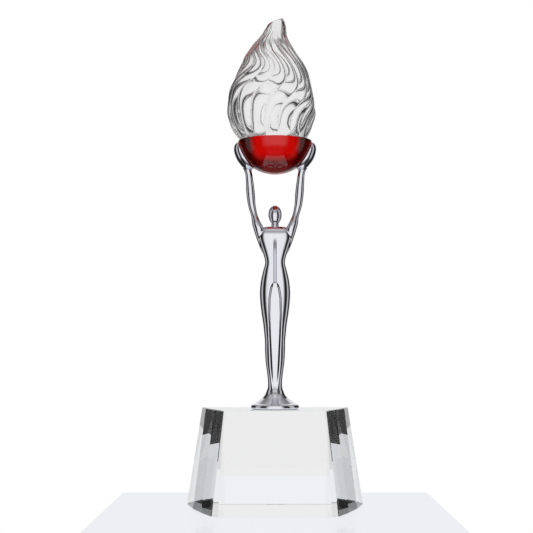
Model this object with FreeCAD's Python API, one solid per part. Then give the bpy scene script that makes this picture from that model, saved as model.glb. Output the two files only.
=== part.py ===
"""Crystal award: a chrome figure on a clear crystal block holds up a red crystal bowl with a clear flame.

Frame: +Z up, the front faces -Y, +X is the viewer's right.  The origin is on the surface that the
block rests on, under its centre.  Units are millimetres.
"""
import FreeCAD, Part
import math
import os

Vector = FreeCAD.Vector

# ---------------------------------------------------------------- driving dimensions
TOTAL_HEIGHT = 305.0           # a 12 inch award

BLOCK_HEIGHT = 62.0            # clear crystal block, widest at the rear
BLOCK_LEAN_DEG = 7.4           # every face leans in by this much
BLOCK_ARRIS = 0.4              # width of the polished bevel, measured along each face beside it
BEVEL_FROM_DEG = 20.0          # edges flatter than this are left as they are
CUTTER_SIZE = 300.0            # any size that covers the whole block
# Right half of the underside's outline, from the front face round to the rear face: x, y.
# Four flats on each side take the narrow front round to the wide rear.
BLOCK_OUTLINE = [
    (33.4, -33.0),
    (37.6, -29.0),
    (44.5, -11.0),
    (50.8, 9.0),
    (56.0, 33.0),
]

FILM = 0.15                    # thickness of each film of adhesive

FOOT_RADIUS = 15.0             # round foot of the casting
FOOT_RIM_HEIGHT = 2.7
FOOT_RIM_ROUND = 1.1
FOOT_FILM_RADIUS = 14.0
FOOT_Z = BLOCK_HEIGHT + FILM   # underside of the casting's foot

BOWL_RADIUS = 23.0             # red crystal bowl: half an ellipsoid with a flat top
BOWL_DEPTH = 20.9
BOWL_TOP_Z = 227.7
FLAME_SEAT_X = -1.2            # the flame stands a little left of the bowl's middle
FLAME_FILM_RADIUS = 20.9

HEAD_CENTRE_Z = 181.4
HEAD_HALF_SIZE = (4.2, 4.9, 6.1)
NECK_RADIUS = 2.2
NECK_HEIGHT = 6.0
NECK_START_Z = 172.6

SECTION_POINTS = 32            # points round each closed section of the body
LIMB_POINTS = 16               # points round each closed section of an arm or a palm
FLAME_FLUTES = 9
FLAME_POINTS_PER_FLUTE = 6

# Body sections from the flared foot to the shoulders:
# height, half width, half depth, shift in Y, depth of the groove down the middle (0 to 1)
BODY_SECTIONS = [
    (63.7, 14.0, 14.0, 0.0, 0.0),
    (65.1, 13.3, 13.3, 0.0, 0.0),
    (66.7, 10.8, 10.8, 0.0, 0.0),
    (68.6, 8.1, 8.1, 0.0, 0.0),
    (71.1, 6.0, 6.0, 0.0, 0.0),
    (74.1, 4.7, 4.8, 0.0, 0.02),
    (78.0, 4.4, 4.5, 0.0, 0.10),
    (84.0, 5.0, 4.8, 0.2, 0.20),
    (91.0, 5.9, 5.3, 0.4, 0.28),
    (98.0, 6.3, 5.6, 0.5, 0.30),
    (105.0, 6.4, 5.4, 0.2, 0.30),
    (113.0, 7.3, 6.0, -0.2, 0.30),
    (121.0, 8.5, 6.7, -0.3, 0.28),
    (128.0, 9.3, 7.3, 0.0, 0.22),
    (134.5, 9.5, 7.5, 0.4, 0.12),
    (141.0, 8.9, 6.8, 0.3, 0.08),
    (147.0, 7.4, 5.6, 0.0, 0.08),
    (152.0, 6.2, 4.8, -0.4, 0.08),
    (157.0, 7.5, 5.1, -0.8, 0.10),
    (162.0, 9.1, 5.6, -0.9, 0.10),
    (167.5, 10.3, 5.3, -0.6, 0.06),
    (171.6, 9.4, 4.2, -0.2, 0.0),
    (174.1, 6.4, 2.8, 0.0, 0.0),
]
GROOVE_HALF_WIDTH = 0.44       # as a share of the section's half width

# Raised arm, from inside the shoulder to the wrist: x, z, radius
ARM_SECTIONS = [
    (7.4, 160.5, 2.2),
    (8.9, 167.0, 2.7),
    (10.4, 172.5, 2.6),
    (11.5, 177.5, 2.35),
    (13.8, 186.0, 2.3),
    (15.0, 193.0, 2.65),
    (15.7, 201.5, 2.45),
    (16.6, 208.0, 2.1),
    (18.2, 212.0, 2.3),
]

# Cupped palm, from its heel to the finger tips: angle down from the bowl's rim in degrees,
# half thickness, half width
PALM_SECTIONS = [
    (56.0, 1.6, 3.6),
    (47.0, 2.6, 5.6),
    (35.0, 2.8, 7.0),
    (22.0, 2.7, 7.2),
    (11.0, 2.2, 6.0),
    (3.5, 1.3, 3.6),
]
PALM_SUNK = 1.2                # the palm's sections reach this far into the bowl before it is cut out
PALM_FILM_SHARE = 0.82         # part of the palm's width that the adhesive covers

# Flame sections from the flat seat towards the tip: height, centre x, half width, flute depth
FLAME_SECTIONS = [
    (BOWL_TOP_Z + FILM, FLAME_SEAT_X, 21.3, 0.010),
    (234.5, -2.0, 24.8, 0.030),
    (242.5, -2.2, 27.0, 0.050),
    (251.0, -2.3, 27.3, 0.060),
    (258.5, -2.4, 26.6, 0.065),
    (266.0, -1.8, 24.2, 0.070),
    (274.0, -1.6, 20.2, 0.080),
    (283.0, -3.3, 15.3, 0.080),
    (290.5, -3.1, 10.8, 0.060),
    (297.0, -1.3, 7.2, 0.030),
]
FLAME_TIP_X = 0.7
FLAME_TIP_HALF_WIDTH = 4.1
FLAME_TIP_SLOPE = 0.40         # the sheared tip rises to the right
FLAME_SLOPE_START = 0.6        # share of the flame's height where its sections start to slope
FLAME_DEPTH_SHARE = 0.92       # depth over width
FLAME_TWIST_DEG = 26.0         # lean of the flutes from seat to tip
FLAME_SWAY_DEG = 13.0          # side to side swing of the flutes on the way up


# ---------------------------------------------------------------- helpers
def flat_face(corners):
    """Flat face with straight sides."""
    return Part.Face(Part.makePolygon(corners + corners[:1]))


def closed_spline(points):
    """Wire of one smooth closed curve through the points."""
    curve = Part.BSplineCurve()
    curve.interpolate(Points=points, PeriodicFlag=True)
    return Part.Wire([curve.toShape()])


def oval_wire(centre, side, half_side, half_width):
    """Oval across a limb: half_side along the unit vector side, half_width along Y."""
    points = []
    for i in range(LIMB_POINTS):
        angle = 2.0 * math.pi * i / LIMB_POINTS
        points.append(centre + side * (half_side * math.cos(angle))
                      + Vector(0.0, half_width * math.sin(angle), 0.0))
    return closed_spline(points)


def mirrored(shape):
    """The same shape on the viewer's left."""
    return shape.mirror(Vector(0.0, 0.0, 0.0), Vector(1.0, 0.0, 0.0))


# ---------------------------------------------------------------- the crystal block
def inward_normal(start, end):
    """Unit normal on the left of a side, which is the inside of a counter-clockwise outline."""
    return Vector(start.y - end.y, end.x - start.x, 0.0).normalize()


def moved_in(corners, inset):
    """Corners of an outline with every side moved inward by the same distance."""
    moved = []
    for i, corner in enumerate(corners):
        n1 = inward_normal(corners[i - 1], corner)
        n2 = inward_normal(corner, corners[(i + 1) % len(corners)])
        moved.append(corner + (n1 + n2) * (inset / (1.0 + n1.dot(n2))))
    return moved


def bevelled(block):
    """The block with a thin flat cut along each of its sharp edges."""
    cutters = []
    for edge in block.Edges:
        normals = [face.normalAt(0.0, 0.0) for face in block.ancestorsOfType(edge, Part.Face)]
        angle = normals[0].getAngle(normals[1])
        if angle < math.radians(BEVEL_FROM_DEG):
            continue
        outward = (normals[0] + normals[1]).normalize()
        on_flat = edge.CenterOfMass - outward * (BLOCK_ARRIS * math.sin(angle / 2.0))
        cutter = Part.makeBox(CUTTER_SIZE, CUTTER_SIZE, CUTTER_SIZE,
                              Vector(-CUTTER_SIZE / 2.0, -CUTTER_SIZE / 2.0, 0.0))
        cutter.Placement = FreeCAD.Placement(on_flat, FreeCAD.Rotation(Vector(0.0, 0.0, 1.0), outward))
        cutters.append(cutter)
    for cutter in cutters:
        block = block.cut(cutter)
    return block.removeSplitter().Solids[0]


def make_base_block():
    """Tapered clear block with flat polished sides and a small bevel on its sharp edges."""
    outline = BLOCK_OUTLINE + [(-x, y) for x, y in reversed(BLOCK_OUTLINE)]
    bottom = [Vector(x, y, 0.0) for x, y in outline]
    inset = BLOCK_HEIGHT * math.tan(math.radians(BLOCK_LEAN_DEG))
    top = [corner + Vector(0.0, 0.0, BLOCK_HEIGHT) for corner in moved_in(bottom, inset)]
    faces = [flat_face(bottom[::-1]), flat_face(top)]
    for i in range(len(bottom)):
        faces.append(flat_face([bottom[i - 1], bottom[i], top[i], top[i - 1]]))
    shell = Part.Shell(faces)
    shell.sewShape()
    return bevelled(Part.Solid(shell))


# ---------------------------------------------------------------- the chrome figure
def body_section(z, half_width, half_depth, shift_y, groove):
    """Closed section of the body; the groove dents it at the front and the back."""
    points = []
    for i in range(SECTION_POINTS):
        angle = 2.0 * math.pi * i / SECTION_POINTS
        across = math.cos(angle)
        dent = 1.0 - groove * math.exp(-(across / GROOVE_HALF_WIDTH) ** 2)
        points.append(Vector(half_width * across, shift_y + half_depth * math.sin(angle) * dent, z))
    return closed_spline(points)


def make_body():
    """Flared ankles, legs, hips, waist and chest as one smooth loft."""
    return Part.makeLoft([body_section(*section) for section in BODY_SECTIONS], True, False)


def make_foot_rim():
    """Round rim that the figure stands on."""
    rim = Part.makeCylinder(FOOT_RADIUS, FOOT_RIM_HEIGHT, Vector(0.0, 0.0, FOOT_Z))
    top_edge = [edge for edge in rim.Edges if edge.BoundBox.ZMin > FOOT_Z + FOOT_RIM_HEIGHT / 2.0]
    return rim.makeFillet(FOOT_RIM_ROUND, top_edge)


def make_head():
    """Smooth egg-shaped head on a short neck."""
    head = Part.makeSphere(1.0)
    stretch = FreeCAD.Matrix()
    stretch.scale(*HEAD_HALF_SIZE)
    head = head.transformGeometry(stretch)
    head.translate(Vector(0.0, 0.0, HEAD_CENTRE_Z))
    neck = Part.makeCylinder(NECK_RADIUS, NECK_HEIGHT, Vector(0.0, 0.0, NECK_START_Z))
    return head.fuse(neck)


def make_arm():
    """Raised arm on the viewer's right, round in section."""
    wires = []
    last = len(ARM_SECTIONS) - 1
    for i, (x, z, radius) in enumerate(ARM_SECTIONS):
        before = ARM_SECTIONS[max(i - 1, 0)]
        after = ARM_SECTIONS[min(i + 1, last)]
        along = Vector(after[0] - before[0], 0.0, after[1] - before[1]).normalize()
        side = Vector(along.z, 0.0, -along.x)
        wires.append(oval_wire(Vector(x, 0.0, z), side, radius, radius))
    return Part.makeLoft(wires, True, False)


def bowl_point(angle_deg, offset):
    """Point beside the bowl's outer surface, and the unit normal there."""
    angle = math.radians(angle_deg)
    normal = Vector(math.cos(angle) / BOWL_RADIUS, 0.0, -math.sin(angle) / BOWL_DEPTH).normalize()
    surface = Vector(BOWL_RADIUS * math.cos(angle), 0.0, BOWL_TOP_Z - BOWL_DEPTH * math.sin(angle))
    return surface + normal * offset, normal


def make_palm(width_share):
    """Cupped palm on the viewer's right, still reaching a little into the bowl."""
    wires = []
    for angle_deg, half_thickness, half_width in PALM_SECTIONS:
        centre, normal = bowl_point(angle_deg, half_thickness - PALM_SUNK)
        wires.append(oval_wire(centre, normal, half_thickness, half_width * width_share))
    return Part.makeLoft(wires, True, False)


def make_figure_casting():
    """The whole figure is one casting; its palms are hollowed to seat the bowl."""
    arm = make_arm()
    palm = make_palm(1.0)
    pieces = [make_foot_rim(), make_head(), arm, mirrored(arm), palm, mirrored(palm)]
    figure = make_body().multiFuse(pieces)
    return figure.cut(make_dome(FILM)).removeSplitter()


# ---------------------------------------------------------------- the bowl and the films
def make_dome(grow):
    """Lower half of an ellipsoid with a flat top, grown outward by a film's thickness."""
    dome = Part.makeSphere(1.0, Vector(0.0, 0.0, 0.0), Vector(0.0, 0.0, 1.0), -90.0, 0.0, 360.0)
    stretch = FreeCAD.Matrix()
    stretch.scale(BOWL_RADIUS + grow, BOWL_RADIUS + grow, BOWL_DEPTH + grow)
    dome = dome.transformGeometry(stretch)
    dome.translate(Vector(0.0, 0.0, BOWL_TOP_Z))
    return dome


def make_palm_film():
    """Adhesive between the bowl and the palm on the viewer's right."""
    shell = make_dome(FILM).cut(make_dome(0.0))
    return shell.common(make_palm(PALM_FILM_SHARE))


# ---------------------------------------------------------------- the flame
def flame_section(z, centre_x, half_width, flute_depth, slope):
    """Closed section of the flame with rounded flutes; slope tips it up to the right."""
    share = (z - BOWL_TOP_Z) / (TOTAL_HEIGHT - BOWL_TOP_Z)
    turn = math.radians(FLAME_TWIST_DEG * share + FLAME_SWAY_DEG * math.sin(2.0 * math.pi * share))
    count = FLAME_FLUTES * FLAME_POINTS_PER_FLUTE
    points = []
    for i in range(count):
        angle = 2.0 * math.pi * i / count
        radius = half_width * (1.0 + flute_depth * math.cos(FLAME_FLUTES * (angle - turn)))
        x = radius * math.cos(angle)
        y = radius * math.sin(angle) * FLAME_DEPTH_SHARE
        points.append(Vector(centre_x + x, y, z + slope * x))
    return closed_spline(points)


def make_flame():
    """Solid clear flame: fluted, widest low down, with a sheared tip that leans right."""
    wires = []
    for z, centre_x, half_width, flute_depth in FLAME_SECTIONS:
        share = (z - BOWL_TOP_Z) / (TOTAL_HEIGHT - BOWL_TOP_Z)
        slope = FLAME_TIP_SLOPE * max(0.0, share - FLAME_SLOPE_START) / (1.0 - FLAME_SLOPE_START)
        wires.append(flame_section(z, centre_x, half_width, flute_depth, slope))
    tip_z = TOTAL_HEIGHT - FLAME_TIP_SLOPE * FLAME_TIP_HALF_WIDTH
    wires.append(flame_section(tip_z, FLAME_TIP_X, FLAME_TIP_HALF_WIDTH, 0.0, FLAME_TIP_SLOPE))
    return Part.makeLoft(wires, True, False)


# ---------------------------------------------------------------- all the pieces
def main():
    """Build every piece and write one file for each."""
    palm_film = make_palm_film()
    nodes = {
        "base_block": make_base_block(),
        "foot_bond": Part.makeCylinder(FOOT_FILM_RADIUS, FILM, Vector(0.0, 0.0, BLOCK_HEIGHT)),
        "figure_casting": make_figure_casting(),
        "palm_bond_right": palm_film,
        "palm_bond_left": mirrored(palm_film),
        "bowl": make_dome(0.0),
        "flame_bond": Part.makeCylinder(FLAME_FILM_RADIUS, FILM,
                                        Vector(FLAME_SEAT_X, 0.0, BOWL_TOP_Z)),
        "flame": make_flame(),
    }
    os.makedirs("parts", exist_ok=True)
    for name, shape in nodes.items():
        shape.exportStep("parts/" + name + ".step")
        box = shape.optimalBoundingBox(True, False)
        print("%-16s solids %d valid %s volume %.0f  x %.2f..%.2f  y %.2f..%.2f  z %.2f..%.2f" % (
            name, len(shape.Solids), shape.isValid(), shape.Volume,
            box.XMin, box.XMax, box.YMin, box.YMax, box.ZMin, box.ZMax))


main()
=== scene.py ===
import math

import bpy
import numpy as np
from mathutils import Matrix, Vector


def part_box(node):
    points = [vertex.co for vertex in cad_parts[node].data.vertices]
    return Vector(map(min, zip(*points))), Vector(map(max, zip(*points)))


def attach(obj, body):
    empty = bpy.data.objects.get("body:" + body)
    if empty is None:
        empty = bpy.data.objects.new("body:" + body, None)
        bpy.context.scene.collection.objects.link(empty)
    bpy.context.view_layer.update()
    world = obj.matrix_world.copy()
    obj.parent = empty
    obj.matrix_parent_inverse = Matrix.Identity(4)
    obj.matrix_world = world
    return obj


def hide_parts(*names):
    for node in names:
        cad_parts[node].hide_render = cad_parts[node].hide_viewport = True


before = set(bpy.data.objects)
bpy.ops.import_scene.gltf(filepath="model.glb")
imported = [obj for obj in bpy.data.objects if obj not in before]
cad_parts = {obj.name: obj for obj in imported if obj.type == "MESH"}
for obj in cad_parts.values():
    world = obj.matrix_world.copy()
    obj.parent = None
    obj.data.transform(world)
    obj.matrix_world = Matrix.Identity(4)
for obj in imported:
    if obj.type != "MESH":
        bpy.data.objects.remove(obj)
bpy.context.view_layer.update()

# ---------------------------------------------------------------- sizes, in millimetres
MM = 0.001                     # scene units per millimetre
FILM = 0.15                    # adhesive film between two pieces
CLEARANCE = 0.02               # gap that keeps two glass surfaces from coinciding

bowl_low, bowl_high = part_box("bowl")
BOWL_RADIUS = bowl_high.x / MM
BOWL_DEPTH = (bowl_high.z - bowl_low.z) / MM
BOWL_TOP_Z = bowl_high.z / MM
BOWL_RIM_ROUND = 0.5
FIGURE_BASE_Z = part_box("figure_casting")[0].z / MM
FLAME_SEAT_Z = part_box("flame")[0].z / MM

# Every height in the figure is above its foot's underside
HEAD_CENTRE_HEIGHT = 119.25
HEAD_HALF_SIZE = (4.2, 4.3, 6.6)
HEAD_TILT_DEG = 24.0           # the head looks up at the flame
HEAD_CROWN_SHARE = 0.06        # how much wider the egg is towards its top
NECK_RADIUS = 2.3
NECK_HEIGHTS = (108.85, 116.35)

FIGURE_VOXEL = 0.25            # the figure's parts are joined at this grain
FIGURE_SMOOTHING = 8
RING_STEP = 0.8                # height between the rings of the body and the arms

# Round foot, from its underside to the ankle: radius, height
FOOT_PROFILE = [
    (14.6, 0.02),
    (15.0, 0.35),
    (15.0, 1.65),
    (14.7, 2.35),
    (14.0, 2.7),
    (13.0, 3.05),
    (10.8, 4.55),
    (8.1, 6.45),
    (6.0, 8.95),
    (4.8, 11.95),
]

# Body from the ankles to the shoulders: height, half width, half depth, shift in Y
BODY_SECTIONS = [
    (7.85, 6.6, 6.6, 0.0),
    (11.95, 4.7, 4.8, 0.0),
    (15.85, 4.4, 4.2, 0.2),
    (21.85, 5.0, 4.3, 0.4),
    (28.85, 5.9, 4.7, 0.2),
    (35.85, 6.3, 5.2, -0.2),
    (41.85, 6.4, 5.7, -0.5),
    (45.85, 6.8, 6.0, -0.5),
    (50.85, 7.3, 6.5, -0.3),
    (58.85, 8.5, 7.0, 0.0),
    (65.85, 9.3, 7.3, 0.2),
    (72.35, 9.5, 7.5, 0.4),
    (78.85, 8.8, 6.8, 0.3),
    (84.85, 7.4, 5.6, 0.0),
    (89.85, 6.2, 4.8, -0.4),
    (94.85, 7.3, 4.9, -0.6),
    (99.85, 8.9, 5.1, -0.7),
    (105.35, 10.3, 5.1, -0.6),
    (109.45, 9.4, 4.2, -0.2),
    (111.95, 6.4, 2.8, 0.0),
]

# Hollow between the legs, front and back: height, half width, depth
LEG_HOLLOW = [
    (11.85, 0.9, 0.2),
    (16.85, 1.6, 0.8),
    (27.85, 2.3, 1.1),
    (42.85, 3.0, 1.2),
    (57.85, 3.6, 1.3),
    (67.85, 3.4, 1.3),
    (73.85, 2.4, 1.2),
    (78.85, 0.6, 0.0),
]
HOLLOW_EDGE = 1.9              # width of the slope at its sides

# Line up the middle of the trunk: height, depth
TRUNK_LINE = [
    (71.85, 0.0),
    (77.85, 0.9),
    (93.85, 0.9),
    (100.85, 0.6),
    (106.85, 0.0),
]
LINE_HALF_WIDTH = 1.1
BODY_SQUARENESS = 2.9          # 2 is an ellipse; more makes the body's faces flatter
ROUND_BELOW = 13.85            # the ankles are round again under this height
SQUARE_RISE = 12.0             # the body squares up over this much height

# Raised arm, from inside the chest to the wrist: height, x, y, radius
ARM_SECTIONS = [
    (92.85, 5.2, 0.0, 1.2),
    (98.85, 7.2, -0.3, 1.9),
    (102.55, 8.0, -0.6, 2.6),
    (106.25, 8.9, -0.9, 3.0),
    (110.05, 9.9, -1.2, 3.2),
    (114.15, 11.5, -0.6, 2.75),
    (118.85, 12.75, 0.9, 2.1),
    (124.85, 14.25, 2.6, 2.35),
    (133.25, 15.2, 2.3, 2.7),
    (140.45, 15.8, 1.5, 2.4),
    (146.35, 16.6, 0.6, 2.2),
    (150.35, 18.2, 0.0, 2.4),
]

# Cupped palm, from its heel to the finger tips: angle down from the bowl's rim in degrees,
# thickness, half width
PALM_SECTIONS = [
    (2.5, 0.9, 2.0),
    (5.0, 1.8, 4.0),
    (11.0, 3.0, 6.0),
    (22.0, 3.7, 7.0),
    (35.0, 3.9, 6.6),
    (45.0, 3.6, 5.2),
    (54.0, 1.4, 3.0),
]

# Flame from the flat seat towards the tip: height, centre x, half width
FLAME_SECTIONS = [
    (0.05, -1.2, 21.1),
    (6.65, -2.0, 24.8),
    (14.65, -2.2, 27.4),
    (23.15, -2.3, 27.9),
    (30.65, -2.6, 27.0),
    (38.15, -1.8, 24.4),
    (46.15, -1.3, 21.0),
    (55.15, -3.4, 16.0),
    (62.65, -3.2, 11.0),
    (69.15, -0.8, 7.8),
    (73.15, 0.0, 6.0),
    (74.95, 0.2, 5.0),
]
FLAME_LEAN_FROM = 46.15        # above this the tip shears up to the right
FLAME_TIP_SLOPE = 0.40
FLAME_DEPTH_SHARE = 0.92
FLAME_BODY_SHARE = 0.965       # radius under the flutes, as a share of the half width
FLAME_RING_STEP = 0.35
FLAME_FADE_FOOT = 0.10         # share of the height over which the flutes fade in
FLAME_FADE_TIP = 0.12
FLAME_FLUTES = 17
FLAME_FLUTE_DEPTH = 0.05      # share of the radius

# ---------------------------------------------------------------- the materials
CRYSTAL_IOR = 1.52
ADHESIVE_IOR = 1.48
CHROME_TONE = (0.84, 0.84, 0.90)
RED_TINT = (0.66, 0.022, 0.014)
RED_DEPTH_TINT = (1.0, 0.25, 0.18)   # what is left of white light deep in the red crystal
RED_DEPTH_DENSITY = 60.0             # per metre

# ---------------------------------------------------------------- the camera
CAMERA_PLACE = (0.0, -801.5, 98.05)
CAMERA_PITCH_DEG = 3.675
CAMERA_LENS = 87.8
CAMERA_SHIFT_X = -0.016

# ---------------------------------------------------------------- the studio
# Brightness of the studio by its turn from straight behind the award: a pale backdrop behind,
# a wide soft light in front, a narrower one at each side, and dim between.  The widths are set
# so that the chrome has dark edges.  Degrees, brightness.
STUDIO_TURN = [
    (0, 0.82), (22, 0.82), (34, 0.01), (70, 0.01), (80, 0.5), (100, 0.5), (110, 0.01), (134, 0.01),
    (152, 0.9), (180, 0.95),
]
# Share of it at each height above the horizon
STUDIO_HEIGHT = [(-90, 0.15), (-34, 0.15), (-22, 1.0), (34, 1.0), (48, 0.2), (90, 0.2)]
# Soft light from the ceiling at each height
STUDIO_CEILING = [(-90, 0.008), (35, 0.008), (65, 0.40), (90, 0.55)]
FLOOR_TONE = (0.87, 0.885, 0.915)
FLOOR_GLOSS = 0.10
FLOOR_Z = -0.2                 # just under the block, so that the two faces don't coincide
FLOOR_HALF_WIDTH = 105.0
FLOOR_FRONT_Y = -105.0
FLOOR_REAR_Y = 105.0


# ---------------------------------------------------------------- helpers
def hermite(at, xs, ys):
    """Smooth curve through the points (xs, ys), read at the places in at."""
    slopes = np.gradient(ys, xs)
    i = np.clip(np.searchsorted(xs, at) - 1, 0, len(xs) - 2)
    width = xs[i + 1] - xs[i]
    t = (at - xs[i]) / width
    start = (1.0 + 2.0 * t) * (1.0 - t) ** 2 * ys[i] + t * (1.0 - t) ** 2 * width * slopes[i]
    end = t * t * (3.0 - 2.0 * t) * ys[i + 1] + t * t * (t - 1.0) * width * slopes[i + 1]
    return start + end


def smooth_step(value):
    """0 below 0, 1 above 1, and a smooth rise between."""
    value = np.clip(value, 0.0, 1.0)
    return value * value * (3.0 - 2.0 * value)


def finer(table, step):
    """The table's rows at even steps of its first column, on smooth curves."""
    table = np.array(table, float)
    count = int(round((table[-1, 0] - table[0, 0]) / step)) + 1
    at = np.linspace(table[0, 0], table[-1, 0], count)
    return np.column_stack([at] + [hermite(at, table[:, 0], column) for column in table.T[1:]])


def circle_angles(count):
    """Angles evenly round a circle."""
    return np.arange(count) * 2.0 * math.pi / count


def rings_mesh(rings, points, faces):
    """Adds a closed skin over the rings, which are arrays of the same length, in millimetres."""
    count = len(rings[0])
    first = len(points)
    for ring in rings:
        points.extend(map(tuple, np.asarray(ring) * MM))
    for row in range(len(rings) - 1):
        for i in range(count):
            j = (i + 1) % count
            a = first + row * count
            faces.append((a + i, a + j, a + count + j, a + count + i))
    for row, flip in ((0, True), (len(rings) - 1, False)):
        middle = len(points)
        points.append(tuple(np.mean(rings[row], axis=0) * MM))
        start = first + row * count
        for i in range(count):
            edge = (start + i, start + (i + 1) % count)
            faces.append((edge[1], edge[0], middle) if flip else (edge[0], edge[1], middle))


def new_piece(name, points, faces, material, replaced):
    """A named object on body root that stands for one CAD node."""
    mesh = bpy.data.meshes.new(name)
    mesh.from_pydata(points, [], faces)
    mesh.validate()
    obj = bpy.data.objects.new(name, mesh)
    bpy.context.scene.collection.objects.link(obj)
    mesh.materials.append(material)
    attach(obj, "root")
    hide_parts(replaced)
    return obj


def shade_smooth(obj):
    """Smooth shading over the whole mesh."""
    obj.data.polygons.foreach_set("use_smooth", [True] * len(obj.data.polygons))


# ---------------------------------------------------------------- materials
def plain_material(name):
    """A material with its node tree and its main shader."""
    material = bpy.data.materials.new(name)
    material.use_nodes = True
    tree = material.node_tree
    return material, tree, tree.nodes["Principled BSDF"]


def noise_roughness(tree, shader, scale, low, high):
    """Fine uneven polish: roughness between low and high."""
    coordinates = tree.nodes.new("ShaderNodeTexCoord")
    noise = tree.nodes.new("ShaderNodeTexNoise")
    noise.inputs["Scale"].default_value = scale
    noise.inputs["Detail"].default_value = 3.0
    spread = tree.nodes.new("ShaderNodeMapRange")
    spread.inputs["To Min"].default_value = low
    spread.inputs["To Max"].default_value = high
    tree.links.new(coordinates.outputs["Object"], noise.inputs["Vector"])
    tree.links.new(noise.outputs["Fac"], spread.inputs["Value"])
    tree.links.new(spread.outputs["Result"], shader.inputs["Roughness"])


def glass_material(name, colour, ior, roughness_high):
    """Clear or tinted polished crystal."""
    material, tree, shader = plain_material(name)
    shader.inputs["Base Color"].default_value = (*colour, 1.0)
    shader.inputs["Transmission Weight"].default_value = 1.0
    shader.inputs["IOR"].default_value = ior
    noise_roughness(tree, shader, 60.0, 0.0, roughness_high)
    return material


def chrome_material():
    """Bright chrome plate with a faint unevenness in its polish."""
    material, tree, shader = plain_material("chrome_plate")
    shader.inputs["Base Color"].default_value = (*CHROME_TONE, 1.0)
    shader.inputs["Metallic"].default_value = 1.0
    noise_roughness(tree, shader, 90.0, 0.01, 0.03)
    return material


def red_material():
    """Deep red crystal, darker where the light crosses more of it."""
    material, tree, shader = plain_material("red_crystal")
    shader.inputs["Base Color"].default_value = (*RED_TINT, 1.0)
    shader.inputs["Transmission Weight"].default_value = 1.0
    shader.inputs["IOR"].default_value = CRYSTAL_IOR
    noise_roughness(tree, shader, 60.0, 0.0, 0.01)
    absorption = tree.nodes.new("ShaderNodeVolumeAbsorption")
    absorption.inputs["Color"].default_value = (*RED_DEPTH_TINT, 1.0)
    absorption.inputs["Density"].default_value = RED_DEPTH_DENSITY
    output = tree.nodes["Material Output"]
    tree.links.new(absorption.outputs["Volume"], output.inputs["Volume"])
    return material


# ---------------------------------------------------------------- the chrome figure
def body_rings():
    """Plain body; its hollows are carved after the parts are joined."""
    angles = circle_angles(96)
    rings = []
    for height, half_width, half_depth, shift in finer(BODY_SECTIONS, RING_STEP):
        squareness = 2.0 + (BODY_SQUARENESS - 2.0) * float(smooth_step((height - ROUND_BELOW) / SQUARE_RISE))
        across = np.sign(np.cos(angles)) * np.abs(np.cos(angles)) ** (2.0 / squareness)
        along = np.sign(np.sin(angles)) * np.abs(np.sin(angles)) ** (2.0 / squareness)
        rings.append(np.column_stack([half_width * across, shift + half_depth * along,
                                      np.full(len(angles), FIGURE_BASE_Z + height)]))
    return rings


def foot_rings():
    """Round foot that flares up into the ankles."""
    angles = circle_angles(96)
    return [np.column_stack([radius * np.cos(angles), radius * np.sin(angles),
                             np.full(len(angles), FIGURE_BASE_Z + height)])
            for radius, height in FOOT_PROFILE]


def head_rings():
    """Smooth egg without a face, tilted back."""
    angles = circle_angles(64)
    half_x, half_y, half_z = HEAD_HALF_SIZE
    centre_z = FIGURE_BASE_Z + HEAD_CENTRE_HEIGHT
    tilt = math.radians(HEAD_TILT_DEG)
    rings = []
    for up in np.linspace(-0.49 * math.pi, 0.49 * math.pi, 40):
        egg = math.cos(up) * (1.0 + HEAD_CROWN_SHARE * math.sin(up))
        y = half_y * egg * np.sin(angles)
        z = np.full(len(angles), half_z * math.sin(up))
        rings.append(np.column_stack([half_x * egg * np.cos(angles),
                                      y * math.cos(tilt) + z * math.sin(tilt),
                                      centre_z + z * math.cos(tilt) - y * math.sin(tilt)]))
    return rings


def neck_rings():
    """Short neck between the shoulders and the head."""
    angles = circle_angles(48)
    return [np.column_stack([NECK_RADIUS * np.cos(angles), NECK_RADIUS * np.sin(angles),
                             np.full(len(angles), FIGURE_BASE_Z + height)])
            for height in np.linspace(*NECK_HEIGHTS, 8)]


def arm_rings(side):
    """Raised arm, round in section; side is 1 for the viewer's right and -1 for the left."""
    angles = circle_angles(48)
    rows = finer(ARM_SECTIONS, RING_STEP)
    slopes = np.gradient(rows[:, 1], rows[:, 0])
    rings = []
    for (height, x, y, radius), slope in zip(rows, slopes):
        length = math.hypot(1.0, slope)
        along_x = radius * np.cos(angles) / length
        ring = np.column_stack([side * (x + along_x), y + radius * np.sin(angles),
                                FIGURE_BASE_Z + height - slope * along_x])
        rings.append(ring[::side])
    return rings


def palm_rings(side):
    """Cupped palm that wraps round the bowl, resting on its film of adhesive."""
    angles = circle_angles(40)
    rings = []
    for down_deg, thickness, half_width in finer(PALM_SECTIONS, 1.0):
        down = math.radians(down_deg)
        turn = half_width * np.cos(angles) / (BOWL_RADIUS * math.cos(down))
        out = FILM + CLEARANCE + thickness * np.maximum(np.sin(angles), 0.0)
        flat = np.column_stack([np.cos(turn), np.sin(turn)])
        normal_flat = math.cos(down) / BOWL_RADIUS
        normal_z = -math.sin(down) / BOWL_DEPTH
        size = math.hypot(normal_flat, normal_z)
        reach = BOWL_RADIUS * math.cos(down) + out * normal_flat / size
        z = BOWL_TOP_Z - BOWL_DEPTH * math.sin(down) + out * normal_z / size
        ring = np.column_stack([side * reach * flat[:, 0], reach * flat[:, 1], z])
        rings.append(ring[::-side])
    return rings


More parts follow.
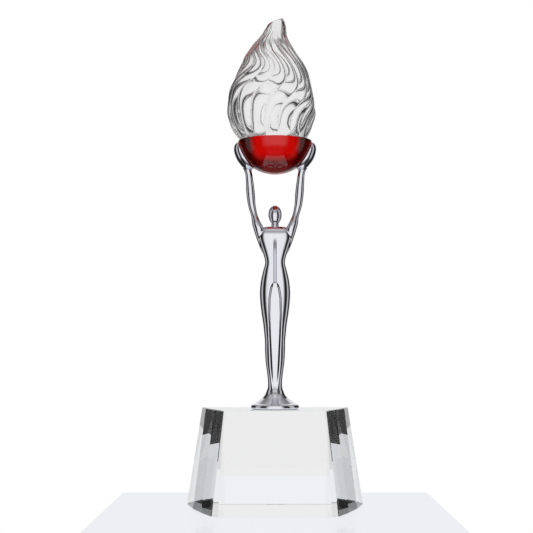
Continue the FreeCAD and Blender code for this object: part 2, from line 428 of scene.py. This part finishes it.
def carve_figure(mesh):
    """Presses the hollow between the legs and the line up the trunk into both faces."""
    flat = np.zeros(len(mesh.vertices) * 3)
    mesh.vertices.foreach_get("co", flat)
    place = flat.reshape(-1, 3) / MM
    across = np.abs(place[:, 0])
    height = place[:, 2] - FIGURE_BASE_Z
    hollow = np.array(LEG_HOLLOW)
    inside = (height > hollow[0, 0]) & (height < hollow[-1, 0])
    half_width = np.interp(height, hollow[:, 0], hollow[:, 1])
    slope = smooth_step((half_width + HOLLOW_EDGE / 2.0 - across) / HOLLOW_EDGE)
    hollow_depth = inside * slope * np.interp(height, hollow[:, 0], hollow[:, 2])
    line = np.array(TRUNK_LINE)
    slope = smooth_step(1.0 - across / LINE_HALF_WIDTH)
    line_depth = slope * np.interp(height, line[:, 0], line[:, 1])
    place[:, 1] -= np.sign(place[:, 1]) * np.maximum(hollow_depth, line_depth)
    mesh.vertices.foreach_set("co", (place * MM).ravel())
    mesh.update()


def make_figure(material):
    """The whole figure as one smooth casting."""
    points, faces = [], []
    parts = [foot_rings(), body_rings(), neck_rings(), head_rings()]
    for side in (1, -1):
        parts.append(arm_rings(side))
        parts.append(palm_rings(side))
    for rings in parts:
        rings_mesh(rings, points, faces)
    obj = new_piece("figure_skin", points, faces, material, "figure_casting")
    remesh = obj.modifiers.new("join", "REMESH")
    remesh.mode = "VOXEL"
    remesh.voxel_size = FIGURE_VOXEL * MM
    smooth = obj.modifiers.new("smooth", "SMOOTH")
    smooth.factor = 0.5
    smooth.iterations = FIGURE_SMOOTHING
    joined = bpy.data.meshes.new_from_object(obj.evaluated_get(bpy.context.evaluated_depsgraph_get()))
    obj.modifiers.clear()
    carve_figure(joined)
    joined.name = "figure_skin"
    obj.data = joined
    shade_smooth(obj)
    return obj


# ---------------------------------------------------------------- the bowl and the flame
def make_bowl(material):
    """Half an ellipsoid with a flat top and a softened rim."""
    angles = circle_angles(160)
    profile = []
    for down in np.linspace(0.499 * math.pi, 0.035, 48):
        profile.append((BOWL_RADIUS * math.cos(down), BOWL_TOP_Z - BOWL_DEPTH * math.sin(down)))
    for turn in np.linspace(0.0, 0.5 * math.pi, 6):
        profile.append((BOWL_RADIUS - BOWL_RIM_ROUND * (1.0 - math.cos(turn)),
                        BOWL_TOP_Z - BOWL_RIM_ROUND * (1.0 - math.sin(turn)) - CLEARANCE))
    for share in (0.9, 0.5, 0.1):
        profile.append((BOWL_RADIUS * share, BOWL_TOP_Z - CLEARANCE))
    rings = [np.column_stack([r * np.cos(angles), r * np.sin(angles), np.full(len(angles), z)])
             for r, z in profile]
    points, faces = [], []
    rings_mesh(rings, points, faces)
    obj = new_piece("bowl_glass", points, faces, material, "bowl")
    shade_smooth(obj)
    return obj


def flame_relief(angle, share):
    """Flowing ridges of the cut flame: rounded crests and narrow valleys."""
    flow = 0.42 * np.sin(2.0 * math.pi * 1.25 * share + 1.1 * np.cos(angle + 0.6))
    flow += 0.12 * np.sin(2.0 * math.pi * 2.4 * share + 2.0 * angle)
    phase = FLAME_FLUTES * (angle - 0.45 * share + 0.5 * flow)
    crest = np.abs(np.cos(0.5 * phase)) ** 0.7
    broad = np.cos(4.0 * angle - 5.0 * share + 1.2 * np.sin(4.0 * math.pi * share))
    return 1.25 * crest + 0.35 * broad - 0.95


def make_flame(material):
    """Solid clear flame with flowing cut ridges and a sheared tip."""
    angles = circle_angles(420)
    base = FLAME_SECTIONS[0][0]
    top = FLAME_SECTIONS[-1][0]
    rings = []
    for height, centre_x, half_width in finer(FLAME_SECTIONS, FLAME_RING_STEP):
        share = (height - base) / (top - base)
        fade = min(1.0, share / FLAME_FADE_FOOT) * min(1.0, (1.0 - share) / FLAME_FADE_TIP)
        relief = FLAME_FLUTE_DEPTH * fade * flame_relief(angles, share)
        radius = half_width * (FLAME_BODY_SHARE + relief)
        slope = FLAME_TIP_SLOPE * max(0.0, height - FLAME_LEAN_FROM) / (top - FLAME_LEAN_FROM)
        x = radius * np.cos(angles)
        y = radius * np.sin(angles) * FLAME_DEPTH_SHARE
        rings.append(np.column_stack([centre_x + x, y, FLAME_SEAT_Z + height + slope * x]))
    points, faces = [], []
    rings_mesh(rings, points, faces)
    obj = new_piece("flame_glass", points, faces, material, "flame")
    shade_smooth(obj)
    return obj


# ---------------------------------------------------------------- the studio
def value_ramp(tree, value, low, high, stops):
    """Brightness that follows the stops as value goes from low to high."""
    ramp = tree.nodes.new("ShaderNodeValToRGB")
    spread = tree.nodes.new("ShaderNodeMapRange")
    spread.inputs["From Min"].default_value = low
    spread.inputs["From Max"].default_value = high
    tree.links.new(value, spread.inputs["Value"])
    tree.links.new(spread.outputs["Result"], ramp.inputs["Fac"])
    elements = ramp.color_ramp.elements
    elements[1].position = 1.0
    for _ in stops[2:]:
        elements.new(0.5)
    for i, (at, brightness) in enumerate(stops):
        elements[i].position = (at - low) / (high - low)
        elements[i].color = (brightness, brightness, brightness, 1.0)
    return ramp.outputs["Color"]


def math_node(tree, operation, first, second=None):
    """Output of one math node; second may be a socket or a number."""
    node = tree.nodes.new("ShaderNodeMath")
    node.operation = operation
    tree.links.new(first, node.inputs[0])
    if isinstance(second, (int, float)):
        node.inputs[1].default_value = second
    elif second is not None:
        tree.links.new(second, node.inputs[1])
    return node.outputs["Value"]


def turn_and_height(tree, source):
    """Turn from straight behind the award and height above the horizon, in degrees."""
    axes = tree.nodes.new("ShaderNodeSeparateXYZ")
    tree.links.new(source, axes.inputs["Vector"])
    turn = math_node(tree, "ARCTAN2", axes.outputs["X"], axes.outputs["Y"])
    height = math_node(tree, "ARCSINE", axes.outputs["Z"])
    return (math_node(tree, "MULTIPLY", turn, 180.0 / math.pi),
            math_node(tree, "MULTIPLY", height, 180.0 / math.pi))


def make_world():
    """Plain soft studio, the same for every ray; the camera itself sees a plain white backdrop."""
    world = bpy.data.worlds.new("studio")
    bpy.context.scene.world = world
    world.use_nodes = True
    tree = world.node_tree
    tree.nodes.clear()
    coordinates = tree.nodes.new("ShaderNodeTexCoord")
    turn, height = turn_and_height(tree, coordinates.outputs["Generated"])
    spread = math_node(tree, "ABSOLUTE", turn)
    walls = math_node(tree, "MULTIPLY", value_ramp(tree, spread, 0, 180, STUDIO_TURN),
                      value_ramp(tree, height, -90, 90, STUDIO_HEIGHT))
    walls = math_node(tree, "ADD", walls, value_ramp(tree, height, -90, 90, STUDIO_CEILING))
    lit = tree.nodes.new("ShaderNodeBackground")
    tree.links.new(walls, lit.inputs["Color"])
    backdrop = tree.nodes.new("ShaderNodeBackground")
    backdrop.inputs["Color"].default_value = (1.0, 1.0, 1.0, 1.0)
    rays = tree.nodes.new("ShaderNodeLightPath")
    mix = tree.nodes.new("ShaderNodeMixShader")
    output = tree.nodes.new("ShaderNodeOutputWorld")
    tree.links.new(rays.outputs["Is Camera Ray"], mix.inputs["Fac"])
    tree.links.new(lit.outputs["Background"], mix.inputs[1])
    tree.links.new(backdrop.outputs["Background"], mix.inputs[2])
    tree.links.new(mix.outputs["Shader"], output.inputs["Surface"])


def floor_material():
    """Pale, evenly lit, with a little mirror gloss."""
    material = bpy.data.materials.new("floor")
    material.use_nodes = True
    tree = material.node_tree
    tree.nodes.clear()
    light = tree.nodes.new("ShaderNodeEmission")
    light.inputs["Color"].default_value = (*FLOOR_TONE, 1.0)
    mirror = tree.nodes.new("ShaderNodeBsdfGlossy")
    mirror.inputs["Roughness"].default_value = 0.02
    mix = tree.nodes.new("ShaderNodeMixShader")
    mix.inputs["Fac"].default_value = FLOOR_GLOSS
    output = tree.nodes.new("ShaderNodeOutputMaterial")
    tree.links.new(light.outputs["Emission"], mix.inputs[1])
    tree.links.new(mirror.outputs["BSDF"], mix.inputs[2])
    tree.links.new(mix.outputs["Shader"], output.inputs["Surface"])
    return material


def make_floor():
    """Plain rectangle under the award."""
    side, front, rear = FLOOR_HALF_WIDTH, FLOOR_FRONT_Y, FLOOR_REAR_Y
    outline = [(-side, front), (side, front), (side, rear), (-side, rear)]
    mesh = bpy.data.meshes.new("floor")
    mesh.from_pydata([(x * MM, y * MM, FLOOR_Z * MM) for x, y in outline], [], [(0, 1, 2, 3)])
    mesh.materials.append(floor_material())
    floor = bpy.data.objects.new("floor", mesh)
    bpy.context.scene.collection.objects.link(floor)


def make_camera():
    """Camera at the photograph's viewing angle."""
    camera = bpy.data.objects.new("camera", bpy.data.cameras.new("camera"))
    bpy.context.scene.collection.objects.link(camera)
    camera.location = [value * MM for value in CAMERA_PLACE]
    camera.rotation_euler = (math.radians(90.0 + CAMERA_PITCH_DEG), 0.0, 0.0)
    camera.data.lens = CAMERA_LENS
    camera.data.sensor_width = 36.0
    camera.data.shift_x = CAMERA_SHIFT_X
    bpy.context.scene.camera = camera


def main():
    """Everything in order."""
    make_camera()
    make_world()
    make_floor()
    chrome = chrome_material()
    crystal = glass_material("clear_crystal", (1.0, 1.0, 1.0), CRYSTAL_IOR, 0.004)
    adhesive = glass_material("clear_adhesive", (0.97, 0.98, 0.97), ADHESIVE_IOR, 0.01)
    make_figure(chrome)
    make_bowl(red_material())
    make_flame(crystal)
    for name, material in (("base_block", crystal), ("foot_bond", adhesive),
                           ("palm_bond_left", adhesive), ("palm_bond_right", adhesive),
                           ("flame_bond", adhesive)):
        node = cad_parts[name]
        for slot in node.material_slots:
            slot.material = material
    scene = bpy.context.scene
    scene.view_settings.view_transform = "Standard"
    scene.cycles.max_bounces = 24
    scene.cycles.transmission_bounces = 24
    scene.cycles.glossy_bounces = 12


main()
